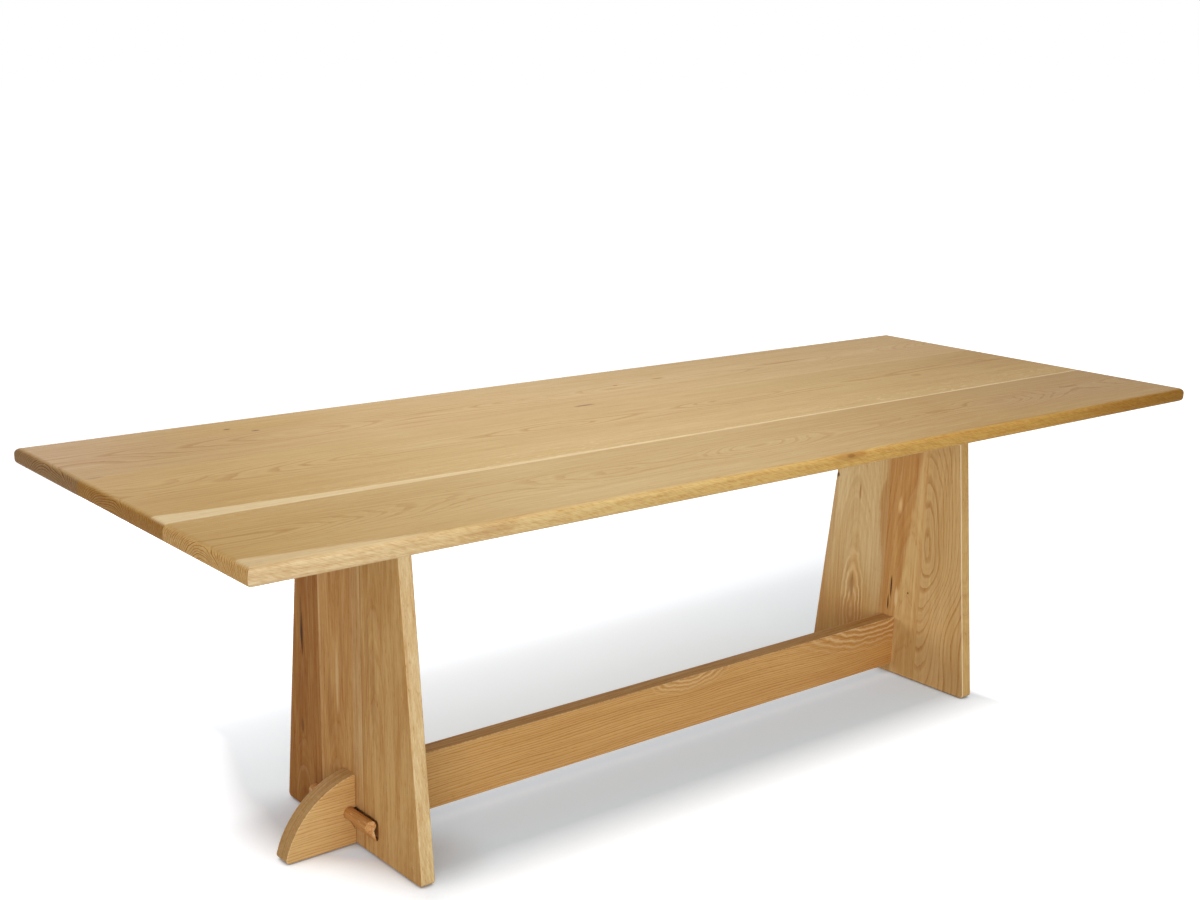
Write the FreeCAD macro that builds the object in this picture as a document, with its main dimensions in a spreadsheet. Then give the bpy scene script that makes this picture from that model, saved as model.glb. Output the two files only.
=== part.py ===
# Trestle dining table: an edge-glued oak top on two tapered panel legs. One long
# stretcher runs through a slot in the foot of each leg and ends outside it in a
# quarter-round foot. A loose key passes through each foot beside the leg.
# Frame: millimetres, +X along the length, +Z up, origin on the floor below the centre.
import FreeCAD, Part
import Sketcher
import math
import os
from types import SimpleNamespace

driving = {
    # tabletop
    "table_height": 750.0,
    "top_length": 2440.0,
    "top_width": 927.0,
    "top_thick": 32.0,
    "top_edge_round": 12.0,
    "under_edge_round": 10.0,
    # glue lines of the top, measured from its centre line towards +Y
    "top_joint_far": 165.0,
    "top_joint_near": -178.0,
    # legs
    "end_overhang": 431.0,
    "leg_thick": 30.0,
    "leg_foot_width": 498.0,
    "leg_head_width": 343.0,
    "leg_ease": 2.5,
    "leg_corner_round": 9.0,
    # glue lines of the legs, measured from the centre line towards +Y
    "left_joint_far": 106.0,
    "left_joint_near": -49.0,
    "right_joint_far": 22.0,
    "right_joint_near": -94.0,
    # stretcher with its quarter-round feet
    "stretcher_thick": 40.0,
    "stretcher_top": 147.0,
    "stretcher_clear": 25.0,
    "stretcher_ease": 2.0,
    "housing_depth": 4.0,
    "foot_reach": 154.0,
    "foot_radius": 186.0,
    "toe_round": 8.0,
    "joint_fit": 0.1,
    # lock keys: distances from the leg's outer face and from the floor
    "key_radius": 11.8,
    "key_out": 14.9,
    "key_height": 70.5,
    "key_length": 212.0,
    "key_shift": 8.5,
    "key_ease": 0.6,
    "key_fit": 0.7,
    "tail_in": 10.2,
    "tail_drop": 29.6,
    "tail_round": 1.7,
    "tail_neck": 7.3,
    "neck_round": 1.5,
    "flank_radius": 42.0,
    # pocket in the leg's outer face behind the key
    "pocket_low": 36.0,
    "pocket_high": 78.7,
    "pocket_depth": 10.0,
    "pocket_round": 8.0,
    "pocket_end_gap": 3.0,
    # cleats that join the legs to the top
    "cleat_width": 45.0,
    "cleat_height": 40.0,
    "cleat_length": 300.0,
    "cleat_ease": 4.0,
    # bolts, washers and threaded inserts
    "bolt_inner": 40.0,
    "bolt_outer": 110.0,
    "bolt_radius": 4.0,
    "bolt_bite": 15.0,
    "bolt_head_radius": 6.5,
    "bolt_head_high": 5.0,
    "socket_radius": 2.9,
    "socket_depth": 3.0,
    "slot_travel": 7.0,
    "slot_fit": 0.5,
    "washer_radius": 12.0,
    "washer_thick": 2.0,
    "insert_radius": 6.0,
    "insert_length": 18.0,
    "thread_fit": 0.05,
    # screws from each cleat into its leg
    "screw_inner": 75.0,
    "screw_outer": 135.0,
    "screw_radius": 2.5,
    "screw_head_radius": 5.0,
    "screw_head_deep": 3.0,
    "screw_bite": 20.0,
    # glides under the legs and feet
    "glide_radius": 11.0,
    "glide_high": 2.0,
    "glide_edge": 45.0,
    "glide_toe": 40.0,
}
cutter_overrun = 10.0  # how far a cutting block reaches past the wood
thinnest_share = 0.48  # a rounding takes at most this share of the wood beside it
tolerance = 1e-4


class Size:
    """A length as a number and as the expression that ties it to the sheet."""

    def __init__(self, number, text):
        self.number = number
        self.text = text

    def __add__(self, other):
        other = as_size(other)
        return Size(self.number + other.number, f"({self.text} + {other.text})")

    def __sub__(self, other):
        other = as_size(other)
        return Size(self.number - other.number, f"({self.text} - {other.text})")

    def __mul__(self, factor):
        return Size(self.number * factor, f"({self.text} * {factor})")

    def __truediv__(self, divisor):
        return Size(self.number / divisor, f"({self.text} / {divisor})")

    def __neg__(self):
        return self * -1


def as_size(value):
    return value if isinstance(value, Size) else Size(float(value), str(value))


def lesser(first, second):
    return Size(min(first.number, second.number), f"min({first.text}; {second.text})")


doc = FreeCAD.newDocument("trestle_table")
sheet = doc.addObject("Spreadsheet::Sheet", "dims")
for row, (alias, value) in enumerate(driving.items(), start=1):
    sheet.set(f"A{row}", alias)
    sheet.set(f"B{row}", str(value))
    sheet.setAlias(f"B{row}", alias)
doc.recompute()
dims = SimpleNamespace(**{alias: Size(value, f"dims.{alias}") for alias, value in driving.items()})

# places shared by several pieces, on the +X side
zero = as_size(0.0)
leg_outer = dims.top_length / 2 - dims.end_overhang
leg_inner = leg_outer - dims.leg_thick
top_under = dims.table_height - dims.top_thick
wood_low = dims.glide_high
web_half = dims.stretcher_thick / 2 - dims.housing_depth
slot_half = web_half + dims.joint_fit
key_low_y = -(dims.key_length / 2) - dims.key_shift
key_high_y = dims.key_length / 2 - dims.key_shift
cleat_face = leg_inner - dims.cleat_width
cleat_under = top_under - dims.cleat_height
bolt_line = leg_inner - dims.cleat_width / 2
screw_level = top_under - dims.cleat_height / 2
bolt_rows = [-dims.bolt_outer, -dims.bolt_inner, dims.bolt_inner, dims.bolt_outer]
screw_rows = [-dims.screw_outer, -dims.screw_inner, dims.screw_inner, dims.screw_outer]


def bind(target, path, size):
    target.setExpression(path, size.text)


def place(target, spot, turn=None):
    if turn:
        target.Placement = FreeCAD.Placement(FreeCAD.Vector(), turn)
    for axis, size in zip("xyz", spot):
        bind(target, f"Placement.Base.{axis}", size)


# sketches

def new_sketch(body, name, plane, lift=zero):
    sketch = body.newObject("Sketcher::SketchObject", name)
    support = next(item for item in body.Origin.OriginFeatures if item.Role == plane)
    sketch.AttachmentSupport = [(support, "")]
    sketch.MapMode = "FlatFace"
    bind(sketch, "AttachmentOffset.Base.z", lift)
    return sketch


def bind_datum(sketch, kind, items, size):
    number = sketch.addConstraint(Sketcher.Constraint(kind, *items, size.number))
    sketch.setExpression(f"Constraints[{number}]", size.text)


def pin_point(sketch, geometry, point, across, up):
    bind_datum(sketch, "DistanceX", (-1, 1, geometry, point), across)
    bind_datum(sketch, "DistanceY", (-1, 1, geometry, point), up)


def bulge(start, end, radius):
    """Arc that bulges to the right of the way from start to end."""
    chord = end - start
    middle = (start + end) / 2
    sideways = FreeCAD.Vector(-chord.y, chord.x, 0).normalize()
    centre = middle + sideways * math.sqrt(max(radius ** 2 - (chord.Length / 2) ** 2, 0.0))
    first = math.atan2(start.y - centre.y, start.x - centre.x)
    last = math.atan2(end.y - centre.y, end.x - centre.x)
    return Part.ArcOfCircle(Part.Circle(centre, FreeCAD.Vector(0, 0, 1), radius), first, last)


def draw_outline(sketch, corners, bulges=None):
    """Closed anticlockwise outline; bulges maps a corner's index to the radius after it."""
    bulges = bulges or {}
    first = sketch.GeometryCount
    points = [FreeCAD.Vector(across.number, up.number, 0) for across, up in corners]
    for index, point in enumerate(points):
        following = points[(index + 1) % len(points)]
        if index in bulges:
            sketch.addGeometry(bulge(point, following, bulges[index].number), False)
        else:
            sketch.addGeometry(Part.LineSegment(point, following), False)
    for index, (across, up) in enumerate(corners):
        before = first + (index - 1) % len(corners)
        sketch.addConstraint(Sketcher.Constraint("Coincident", before, 2, first + index, 1))
        pin_point(sketch, first + index, 1, across, up)
    for index, radius in bulges.items():
        bind_datum(sketch, "Radius", (first + index,), radius)


def draw_rectangle(sketch, low, high):
    draw_outline(sketch, [low, (high[0], low[1]), high, (low[0], high[1])])


def draw_circle(sketch, across, up, radius):
    centre = FreeCAD.Vector(across.number, up.number, 0)
    circle = Part.Circle(centre, FreeCAD.Vector(0, 0, 1), radius.number)
    index = sketch.addGeometry(circle, False)
    pin_point(sketch, index, 3, across, up)
    bind_datum(sketch, "Radius", (index,), radius)


def draw_slot(sketch, across, up, travel, radius):
    """Slot that runs along the sketch's upright, round at both ends."""
    half = FreeCAD.Vector(radius.number, 0, 0)
    top = FreeCAD.Vector(across.number, (up + travel).number, 0)
    low = FreeCAD.Vector(across.number, (up - travel).number, 0)
    normal = FreeCAD.Vector(0, 0, 1)
    top_circle = Part.Circle(top, normal, radius.number)
    low_circle = Part.Circle(low, normal, radius.number)
    top_end = sketch.addGeometry(Part.ArcOfCircle(top_circle, 0, math.pi), False)
    left = sketch.addGeometry(Part.LineSegment(top - half, low - half), False)
    low_end = sketch.addGeometry(Part.ArcOfCircle(low_circle, math.pi, 2 * math.pi), False)
    right = sketch.addGeometry(Part.LineSegment(low + half, top + half), False)
    loop = [(top_end, left), (left, low_end), (low_end, right), (right, top_end)]
    for before, after in loop:
        sketch.addConstraint(Sketcher.Constraint("Tangent", before, 2, after, 1))
    sketch.addConstraint(Sketcher.Constraint("Equal", top_end, low_end))
    pin_point(sketch, top_end, 3, across, up + travel)
    pin_point(sketch, low_end, 3, across, up - travel)
    bind_datum(sketch, "Radius", (top_end,), radius)


def draw_key(sketch, gap):
    """Section of a key: a round with a tail that leans to the leg, grown by gap."""
    round_spot = (leg_outer + dims.key_out, dims.key_height)
    tip_spot = (round_spot[0] - dims.tail_in, dims.key_height - dims.tail_drop)
    round_radius = dims.key_radius + gap
    tip_radius = dims.tail_round + gap
    flank_radius = dims.flank_radius - gap
    up = FreeCAD.Vector(0, 0, 1)
    round_centre = FreeCAD.Vector(round_spot[0].number, round_spot[1].number, 0)
    tip_centre = FreeCAD.Vector(tip_spot[0].number, tip_spot[1].number, 0)

    # the flank's centre is one flank radius off both rounds, on the outer side
    to_tip = tip_centre - round_centre
    reach_round = flank_radius.number + round_radius.number
    reach_tip = flank_radius.number + tip_radius.number
    along = (reach_round ** 2 - reach_tip ** 2 + to_tip.Length ** 2) / (2 * to_tip.Length)
    aside = math.sqrt(reach_round ** 2 - along ** 2)
    forward = FreeCAD.Vector(to_tip).normalize()
    outward = FreeCAD.Vector(-forward.y, forward.x, 0)
    flank_centre = round_centre + forward * along + outward * aside
    neck_drop = math.sqrt(round_radius.number ** 2 - dims.tail_neck.number ** 2)
    neck = round_centre - FreeCAD.Vector(dims.tail_neck.number, neck_drop, 0)
    to_neck = neck - tip_centre
    touch = math.atan2(to_neck.y, to_neck.x) + math.acos(tip_radius.number / to_neck.Length)
    tip_start = tip_centre + FreeCAD.Vector(math.cos(touch), math.sin(touch), 0) * tip_radius.number

    def angle(centre, point):
        return math.atan2(point.y - centre.y, point.x - centre.x)

    def arc(centre, radius, start, end):
        return Part.ArcOfCircle(Part.Circle(centre, up, radius.number), start, end)

    full_round = sketch.addGeometry(
        arc(round_centre, round_radius, angle(round_centre, flank_centre), angle(round_centre, neck)),
        False,
    )
    leg_side = sketch.addGeometry(Part.LineSegment(neck, tip_start), False)
    tip = sketch.addGeometry(
        arc(tip_centre, tip_radius, touch, angle(tip_centre, flank_centre)), False
    )
    flank = sketch.addGeometry(
        arc(flank_centre, flank_radius, angle(flank_centre, round_centre), angle(flank_centre, tip_centre)),
        False,
    )
    sketch.addConstraint(Sketcher.Constraint("Tangent", full_round, 1, flank, 1))
    sketch.addConstraint(Sketcher.Constraint("Coincident", full_round, 2, leg_side, 1))
    sketch.addConstraint(Sketcher.Constraint("Tangent", leg_side, 2, tip, 1))
    sketch.addConstraint(Sketcher.Constraint("Tangent", tip, 2, flank, 2))
    pin_point(sketch, full_round, 3, *round_spot)
    pin_point(sketch, tip, 3, *tip_spot)
    bind_datum(sketch, "Radius", (full_round,), round_radius)
    bind_datum(sketch, "Radius", (tip,), tip_radius)
    bind_datum(sketch, "Radius", (flank,), flank_radius)
    bind_datum(sketch, "DistanceX", (leg_side, 1, full_round, 3), dims.tail_neck)


# solid features

def new_body(name):
    body = doc.addObject("PartDesign::Body", name)
    body.Label = name
    return body


def add_pad(body, sketch, length, other_length=None, symmetric=False):
    pad = body.newObject("PartDesign::Pad", f"{sketch.Name}_pad")
    pad.Profile = sketch
    bind(pad, "Length", length)
    if symmetric:
        pad.SideType = "Symmetric"
    if other_length:
        pad.SideType = "Two sides"
        bind(pad, "Length2", other_length)
    doc.recompute()
    return pad


def add_cut(body, sketch, depth=None, reverse=False):
    """Pocket to a depth, or right through both ways; it has to take wood away."""
    volume = body.Tip.Shape.Volume
    cut = body.newObject("PartDesign::Pocket", f"{sketch.Name}_cut")
    cut.Profile = sketch
    if depth is None:
        cut.Type = "ThroughAll"
        cut.SideType = "Symmetric"
    else:
        cut.Reversed = reverse
        bind(cut, "Length", depth)
    doc.recompute()
    if not cut.Shape.Volume < volume - tolerance:
        raise RuntimeError(f"{cut.Name} takes nothing away")
    return cut


def add_rounding(body, name, radius, wanted):
    """Fillet on each edge whose bounding box passes the test."""
    base = body.Tip
    edges = [
        f"Edge{number}"
        for number, edge in enumerate(base.Shape.Edges, start=1)
        if wanted(edge.BoundBox)
    ]
    rounding = body.newObject("PartDesign::Fillet", name)
    rounding.Base = (base, edges)
    bind(rounding, "Radius", radius)
    doc.recompute()


def near(number, size):
    return abs(number - size.number) < tolerance


def flat_at(low, high, size):
    return near(low, size) and near(high, size)


def add_mirror(body, name, features):
    mirror = body.newObject("PartDesign::Mirrored", name)
    mirror.Originals = features
    plane = next(item for item in body.Origin.OriginFeatures if item.Role == "YZ_Plane")
    mirror.MirrorPlane = (plane, [""])
    body.Tip = mirror
    doc.recompute()


# plain blocks, rods and groups

def add_block(name, low, high):
    block = doc.addObject("Part::Box", name)
    for path, start, end in zip(("Length", "Width", "Height"), low, high):
        bind(block, path, end - start)
    place(block, low)
    return block


def add_rod(name, radius, length, spot, turn=None):
    rod = doc.addObject("Part::Cylinder", name)
    bind(rod, "Radius", radius)
    bind(rod, "Height", length)
    place(rod, spot, turn)
    return rod


def add_join(kind, name, base, tool):
    join = doc.addObject(kind, name)
    join.Base = base
    join.Tool = tool
    return join


def add_ring(name, outer, inner, length, spot):
    rim = add_rod(f"{name}_rim", outer, length, spot)
    hole = add_rod(f"{name}_hole", inner, length, spot)
    return add_join("Part::Cut", name, rim, hole)


def add_group(name, members):
    group = doc.addObject("Part::Compound", name)
    group.Links = members
    return group


def split_boards(blank, lines, names, low, high):
    """Cut a blank into boards along glue lines that run down from +Y."""
    edges = [high[1], *lines, low[1]]
    boards = []
    for name, upper, lower in zip(names, edges, edges[1:]):
        band = add_block(f"{name}_band", (low[0], lower, low[2]), (high[0], upper, high[2]))
        boards.append(add_join("Part::Common", name, blank, band))
    return boards


def make_top():
    blank = new_body("top_blank")
    face = new_sketch(blank, "top_face", "XY_Plane", top_under)
    half_length = dims.top_length / 2
    half_width = dims.top_width / 2
    draw_rectangle(face, (-half_length, -half_width), (half_length, half_width))
    add_pad(blank, face, dims.top_thick)
    limit = dims.top_thick * thinnest_share
    add_rounding(
        blank, "upper_rounding", lesser(dims.top_edge_round, limit),
        lambda box: flat_at(box.ZMin, box.ZMax, dims.table_height),
    )
    add_rounding(
        blank, "under_rounding", lesser(dims.under_edge_round, limit),
        lambda box: flat_at(box.ZMin, box.ZMax, top_under),
    )
    holes = new_sketch(blank, "insert_holes", "XY_Plane", top_under)
    for across in (-bolt_line, bolt_line):
        for up in bolt_rows:
            draw_circle(holes, across, up, dims.insert_radius + dims.thread_fit)
    add_cut(blank, holes, dims.insert_length, reverse=True)
    lines = [dims.top_joint_far, dims.top_joint_near]
    names = [f"top_board_{spot}" for spot in ("far", "middle", "near")]
    low = (-half_length - cutter_overrun, -half_width - cutter_overrun, top_under - cutter_overrun)
    high = (half_length + cutter_overrun, half_width + cutter_overrun,
            dims.table_height + cutter_overrun)
    return split_boards(blank, lines, names, low, high)


def make_leg(side, turn, screws, lines):
    """Leg drawn at the +X end; turn brings the left one to its place."""
    blank = new_body(f"leg_{side}_blank")
    face = new_sketch(blank, f"leg_{side}_face", "YZ_Plane", leg_inner)
    foot_half = dims.leg_foot_width / 2
    head_half = dims.leg_head_width / 2
    draw_outline(face, [
        (-foot_half, wood_low), (foot_half, wood_low),
        (head_half, top_under), (-head_half, top_under),
    ])
    add_pad(blank, face, dims.leg_thick)
    add_rounding(
        blank, f"leg_{side}_corners", dims.leg_corner_round,
        lambda box: flat_at(box.ZMin, box.ZMax, wood_low) and box.YLength < tolerance,
    )
    add_rounding(
        blank, f"leg_{side}_ease", lesser(dims.leg_ease, dims.leg_thick * thinnest_share),
        lambda box: box.XLength < tolerance and not near(box.ZMin, top_under),
    )

    slot = new_sketch(blank, f"leg_{side}_slot", "YZ_Plane", leg_inner)
    draw_rectangle(slot, (-slot_half, wood_low - cutter_overrun), (slot_half, dims.stretcher_top))
    add_cut(blank, slot)

    pocket = new_sketch(blank, f"leg_{side}_pocket", "YZ_Plane", leg_outer)
    draw_rectangle(
        pocket,
        (key_low_y - dims.pocket_end_gap, dims.pocket_low),
        (key_high_y + dims.pocket_end_gap, dims.pocket_high),
    )
    add_cut(blank, pocket, dims.pocket_depth)
    ends = (key_low_y - dims.pocket_end_gap, key_high_y + dims.pocket_end_gap)
    add_rounding(
        blank, f"leg_{side}_pocket_corners", dims.pocket_round,
        lambda box: near(box.XLength, dims.pocket_depth) and box.YLength < tolerance
        and any(near(box.YMin, end) for end in ends),
    )
    blank.Placement = FreeCAD.Placement(FreeCAD.Vector(), turn)
    drilled = add_join("Part::Cut", f"leg_{side}_drilled", blank, screws)
    names = [f"leg_{side}_board_{spot}" for spot in ("far", "middle", "near")]
    low = (-leg_outer, -foot_half, wood_low)
    high = (leg_outer, foot_half, top_under)
    return split_boards(
        drilled, lines, names,
        [size - cutter_overrun for size in low],
        [size + cutter_overrun for size in high],
    )


def make_stretcher():
    body = new_body("stretcher")
    side = new_sketch(body, "stretcher_side", "XZ_Plane")
    toe = leg_outer + dims.foot_reach
    corners = [
        (leg_inner, dims.stretcher_clear), (leg_inner, wood_low), (toe, wood_low),
        (leg_outer, dims.stretcher_top), (-leg_outer, dims.stretcher_top), (-toe, wood_low),
        (-leg_inner, wood_low), (-leg_inner, dims.stretcher_clear),
    ]
    draw_outline(side, corners, {2: dims.foot_radius, 4: dims.foot_radius})
    add_pad(body, side, dims.stretcher_thick, symmetric=True)
    add_rounding(
        body, "toe_rounding", dims.toe_round,
        lambda box: flat_at(box.ZMin, box.ZMax, wood_low) and box.XLength < tolerance
        and near(abs(box.XMin), toe),
    )
    add_rounding(
        body, "stretcher_ease", dims.stretcher_ease,
        lambda box: box.YLength < tolerance and box.ZMax > dims.stretcher_top.number - tolerance,
    )

    # the leg's slot is narrower than the board, which is housed to let it in
    housing = new_sketch(body, "housing", "XY_Plane")
    start = leg_inner - dims.joint_fit
    end = leg_outer + dims.joint_fit
    outside = dims.stretcher_thick / 2 + cutter_overrun
    draw_rectangle(housing, (start, web_half), (end, outside))
    draw_rectangle(housing, (start, -outside), (end, -web_half))
    housing_cut = add_cut(body, housing)
    add_mirror(body, "left_housing", [housing_cut])
    add_rounding(
        body, "shoulder_ease", dims.stretcher_ease,
        lambda box: box.YLength < tolerance and box.XLength < tolerance
        and near(abs(box.XMin), end) and near(abs(box.YMin), dims.stretcher_thick / 2),
    )

    # keyhole, open towards the leg where the leg's pocket carries on through the board
    keyhole = new_sketch(body, "keyhole", "XZ_Plane")
    draw_key(keyhole, dims.key_fit)
    keyhole_cut = add_cut(body, keyhole)
    channel = new_sketch(body, "key_channel", "XZ_Plane")
    channel_back = leg_outer - dims.pocket_depth
    key_middle = leg_outer + dims.key_out
    draw_outline(channel, [
        (channel_back, dims.pocket_low), (key_middle - dims.tail_in, dims.pocket_low),
        (key_middle, dims.key_height), (key_middle, dims.pocket_high),
        (channel_back, dims.pocket_high),
    ])
    channel_cut = add_cut(body, channel)
    add_mirror(body, "left_keyhole", [keyhole_cut, channel_cut])
    return body


def make_key(side, turn):
    body = new_body(f"lock_key_{side}")
    section = new_sketch(body, f"key_{side}_section", "XZ_Plane")
    draw_key(section, zero)
    add_pad(body, section, -key_low_y, other_length=key_high_y)
    neck = leg_outer + dims.key_out - dims.tail_neck
    add_rounding(
        body, f"key_{side}_neck", dims.neck_round,
        lambda box: flat_at(box.XMin, box.XMax, neck) and box.ZLength < tolerance,
    )
    add_rounding(
        body, f"key_{side}_ease", dims.key_ease,
        lambda box: box.YLength < tolerance,
    )
    body.Placement = FreeCAD.Placement(FreeCAD.Vector(), turn)
    return body


def make_cleat(side, turn, screws):
    blank = new_body(f"cleat_{side}_blank")
    under = new_sketch(blank, f"cleat_{side}_under", "XY_Plane", cleat_under)
    half_length = dims.cleat_length / 2
    draw_rectangle(under, (cleat_face, -half_length), (leg_inner, half_length))
    add_pad(blank, under, dims.cleat_height)
    add_rounding(
        blank, f"cleat_{side}_ease", dims.cleat_ease,
        lambda box: flat_at(box.ZMin, box.ZMax, cleat_under) and not near(box.XMin, leg_inner),
    )
    slots = new_sketch(blank, f"cleat_{side}_slots", "XY_Plane", cleat_under)
    slot_radius = dims.bolt_radius + dims.slot_fit
    for row in bolt_rows:
        draw_slot(slots, bolt_line, row, dims.slot_travel, slot_radius)
    add_cut(blank, slots)
    blank.Placement = FreeCAD.Placement(FreeCAD.Vector(), turn)
    return add_join("Part::Cut", f"cleat_{side}", blank, screws)


def make_screws():
    """Countersunk screws, level, from the face of each cleat into the leg."""
    screws = []
    for end in (-1, 1):
        outward = FreeCAD.Rotation(FreeCAD.Vector(0, 1, 0), 90 * end)
        for number, row in enumerate(screw_rows, start=1):
            name = f"screw_{'right' if end > 0 else 'left'}_{number}"
            spot = (cleat_face * end, row, screw_level)
            head = doc.addObject("Part::Cone", f"{name}_head")
            bind(head, "Radius1", dims.screw_head_radius)
            bind(head, "Radius2", dims.screw_radius)
            bind(head, "Height", dims.screw_head_deep)
            place(head, spot, outward)
            shank = add_rod(f"{name}_shank", dims.screw_radius, dims.cleat_width + dims.screw_bite,
                            spot, outward)
            screws.append(add_join("Part::Fuse", name, head, shank))
    return add_group("cleat_screws", screws)


def make_bolts():
    """Socket-head bolts, washers and threaded inserts at each slot of the cleats."""
    bolts = []
    washers = []
    inserts = []
    washer_under = cleat_under - dims.washer_thick
    head_under = washer_under - dims.bolt_head_high
    shank_length = dims.washer_thick + dims.cleat_height + dims.bolt_bite
    for side, across in (("left", -bolt_line), ("right", bolt_line)):
        for number, row in enumerate(bolt_rows, start=1):
            name = f"bolt_{side}_{number}"
            head = add_rod(f"{name}_head", dims.bolt_head_radius, dims.bolt_head_high,
                           (across, row, head_under))
            shank = add_rod(f"{name}_shank", dims.bolt_radius, shank_length,
                            (across, row, washer_under))
            blank = add_join("Part::Fuse", f"{name}_blank", head, shank)
            socket = doc.addObject("Part::Prism", f"{name}_socket")
            socket.Polygon = 6
            bind(socket, "Circumradius", dims.socket_radius)
            bind(socket, "Height", dims.socket_depth)
            place(socket, (across, row, head_under))
            bolts.append(add_join("Part::Cut", name, blank, socket))
            washers.append(add_ring(
                f"washer_{side}_{number}", dims.washer_radius, dims.bolt_radius + dims.slot_fit,
                dims.washer_thick, (across, row, washer_under),
            ))
            inserts.append(add_ring(
                f"insert_{side}_{number}", dims.insert_radius, dims.bolt_radius + dims.thread_fit,
                dims.insert_length, (across, row, top_under),
            ))
    return [
        add_group("top_bolts", bolts),
        add_group("top_washers", washers),
        add_group("threaded_inserts", inserts),
    ]


def make_glides():
    glides = []
    leg_row = dims.leg_foot_width / 2 - dims.glide_edge
    leg_middle = leg_outer - dims.leg_thick / 2
    toe_spot = leg_outer + dims.foot_reach - dims.glide_toe
    for end in (-1, 1):
        spots = [(leg_middle * end, -leg_row), (leg_middle * end, leg_row), (toe_spot * end, zero)]
        for across, up in spots:
            name = f"glide_{len(glides) + 1}"
            glides.append(add_rod(name, dims.glide_radius, dims.glide_high, (across, up, zero)))
    return add_group("glides", glides)


def write_parts(pieces):
    doc.recompute()
    for item in doc.Objects:
        if "Invalid" in item.State or "Error" in item.State:
            raise RuntimeError(f"{item.Name} did not compute: {item.State}")
    for piece in pieces:
        if piece.Shape.isNull() or not piece.Shape.isValid() or not piece.Shape.Solids:
            raise RuntimeError(f"{piece.Label} has no valid shape")
    os.makedirs("parts", exist_ok=True)
    for piece in pieces:
        piece.Shape.exportStep(f"parts/{piece.Label}.step")
        print(piece.Label, len(piece.Shape.Solids), round(piece.Shape.Volume))


as_drawn = FreeCAD.Rotation()
half_turn = FreeCAD.Rotation(FreeCAD.Vector(0, 0, 1), 180)
cleat_screws = make_screws()
pieces = make_top()
pieces += make_leg("left", half_turn, cleat_screws, [dims.left_joint_far, dims.left_joint_near])
pieces += make_leg("right", as_drawn, cleat_screws, [dims.right_joint_far, dims.right_joint_near])
pieces += [
    make_stretcher(),
    make_key("left", half_turn),
    make_key("right", as_drawn),
    make_cleat("left", half_turn, cleat_screws),
    make_cleat("right", as_drawn, cleat_screws),
    cleat_screws,
    *make_bolts(),
    make_glides(),
]
write_parts(pieces)
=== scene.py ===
import math
import bmesh
import bpy
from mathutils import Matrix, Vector

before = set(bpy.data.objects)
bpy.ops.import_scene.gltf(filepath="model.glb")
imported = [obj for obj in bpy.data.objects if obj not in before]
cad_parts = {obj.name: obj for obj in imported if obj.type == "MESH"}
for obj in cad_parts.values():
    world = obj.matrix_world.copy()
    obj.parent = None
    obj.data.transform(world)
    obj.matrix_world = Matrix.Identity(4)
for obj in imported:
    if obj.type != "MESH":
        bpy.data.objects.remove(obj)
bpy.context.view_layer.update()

# Oak trestle table. Growth rings run round a pith beside each board, so face, edge and end
# grain agree. Places on a board are millimetres in the table's frame, in the board's own
# order: along the grain, across the board, through it.

print("frame loaded")

mixSockets = {"amount": 0, "first": 6, "second": 7, "result": 2}  # for colours, in a Mix node


def addNode(tree, kind, inputs=None, **settings):
    made = tree.nodes.new("ShaderNode" + kind)
    for key, value in settings.items():
        setattr(made, key, value)
    for key, value in (inputs or {}).items():
        feed(tree, made.inputs[key], value)
    return made


def feed(tree, socket, value):
    if isinstance(value, bpy.types.NodeSocket):
        tree.links.new(value, socket)
    else:
        socket.default_value = value


def calc(tree, operation, *values, clamp=False):
    made = addNode(tree, "Math", operation=operation, use_clamp=clamp)
    for slot, value in enumerate(values):
        feed(tree, made.inputs[slot], value)
    return made.outputs[0]


def times(tree, product, *factors):
    for factor in factors:
        product = calc(tree, "MULTIPLY", product, factor)
    return product


def invert(tree, mask):
    return calc(tree, "SUBTRACT", 1.0, mask)


def centre(tree, value):  # noise swings round a half, and this makes it swing round zero
    return calc(tree, "SUBTRACT", value, 0.5)


def vecCalc(tree, operation, *values):
    made = addNode(tree, "VectorMath", operation=operation)
    for slot, value in enumerate(values):
        feed(tree, made.inputs[slot], value)
    return made.outputs["Value" if operation in ("DOT_PRODUCT", "LENGTH") else "Vector"]


def join(tree, first, second, third):
    return addNode(tree, "CombineXYZ", {0: first, 1: second, 2: third}).outputs[0]


def split(tree, vector):
    return addNode(tree, "SeparateXYZ", {0: vector}).outputs


def offsetFrom(tree, place, middle, reach):  # how far from the middle, in reaches
    return vecCalc(tree, "DIVIDE", vecCalc(tree, "SUBTRACT", place, middle), reach)


def ramp(tree, value, low, high, outLow=0.0, outHigh=1.0):  # smooth step between two values
    made = addNode(tree, "MapRange", {"Value": value, "From Min": low, "From Max": high,
                                      "To Min": outLow, "To Max": outHigh},
                   interpolation_type="SMOOTHSTEP")
    return made.outputs["Result"]


def blendColour(tree, amount, first, second, mode="MIX"):
    made = addNode(tree, "Mix", data_type="RGBA", blend_type=mode)
    for key, value in (("amount", amount), ("first", first), ("second", second)):
        feed(tree, made.inputs[mixSockets[key]], value)
    return made.outputs[mixSockets["result"]]


def noise(tree, place, scale=1.0, detail=2.0, rough=0.5):
    made = addNode(tree, "TexNoise", {"Vector": place, "Scale": scale, "Detail": detail,
                                      "Roughness": rough}, noise_dimensions="3D")
    return made.outputs[0]


def lineNoise(tree, along, detail=1.0):
    made = addNode(tree, "TexNoise", {"W": along, "Scale": 1.0, "Detail": detail},
                   noise_dimensions="1D")
    return made.outputs[0]


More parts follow.
